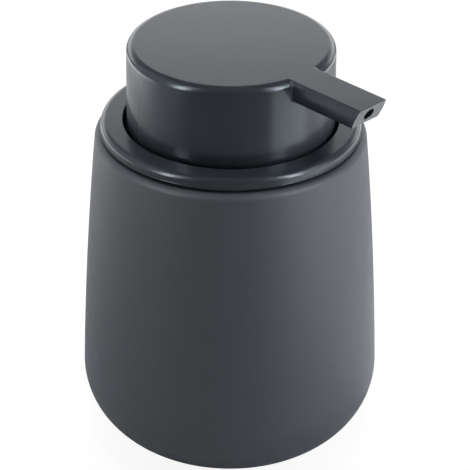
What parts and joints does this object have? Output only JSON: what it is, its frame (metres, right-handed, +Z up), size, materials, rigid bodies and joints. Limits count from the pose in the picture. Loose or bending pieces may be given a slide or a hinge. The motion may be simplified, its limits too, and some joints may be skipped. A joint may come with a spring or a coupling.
{
  "type": "soap pump dispenser",
  "caption": "Rounded stoneware jar with a lift-out lid and a wide push button that carries a short flat-topped spout, for liquid soap.",
  "frame": {"origin": "middle of the base, on the pump's axis, where the dispenser stands on its pad", "axes": "+Z up along the pump's axis, +X along the spout towards its tip, +Y to the left of the spout"},
  "size_m": [0.088, 0.08, 0.1142],
  "materials": {
    "jar_coating": "stoneware with a matte soft-touch coating, slate grey",
    "satin_plastic": "satin moulded plastic, slate grey",
    "pad_rubber": "matte non-slip rubber",
    "silicone": "matte dark silicone",
    "pump_plastic": "natural moulded plastic",
    "gasket_foam": "closed foam sheet",
    "tube_plastic": "milky extruded plastic",
    "piston_plastic": "soft waxy plastic",
    "ball_steel": "polished stainless steel",
    "spring_steel": "drawn stainless wire"
  },
  "bodies": {
    "jar": {"jar": "jar_coating", "base_pad": "pad_rubber"},
    "lid": {"lid_collar": "satin_plastic", "lid_seal": "silicone", "pump_nut": "pump_plastic", "neck_gasket": "gasket_foam", "pump_housing": "pump_plastic", "housing_cap": "pump_plastic", "stem_wiper": "silicone", "ball_cage": "pump_plastic", "dip_tube": "tube_plastic", "return_spring": "spring_steel"},
    "inlet_valve": {"inlet_ball": "ball_steel"},
    "plunger": {"piston": "piston_plastic"},
    "head": {"button": "satin_plastic", "button_core": "pump_plastic", "nozzle_tube": "tube_plastic", "stem": "pump_plastic", "piston_rod": "pump_plastic"},
    "outlet_valve": {"outlet_ball": "ball_steel"}
  },
  "joints": [
    {"name": "lid_lift", "type": "slide", "parent": "jar", "child": "lid", "axis": [0, 0, 1], "range_m": [0, 0.1]},
    {"name": "inlet_ball_lift", "type": "slide", "parent": "lid", "child": "inlet_valve", "axis": [0, 0, 1], "range_m": [0, 0.0012]},
    {"name": "button_press", "type": "slide", "parent": "lid", "child": "plunger", "axis": [0, 0, -1], "range_m": [0, 0.01], "stiffness_N_per_m": 600, "springref_m": -0.01, "deforming": ["return_spring"]},
    {"name": "head_swivel", "type": "hinge", "parent": "plunger", "child": "head", "pos_m": [0, 0, 0.09], "axis": [0, 0, 1], "continuous": true},
    {"name": "outlet_ball_lift", "type": "slide", "parent": "head", "child": "outlet_valve", "axis": [0, 0, 1], "range_m": [0, 0.001]}
  ]
}
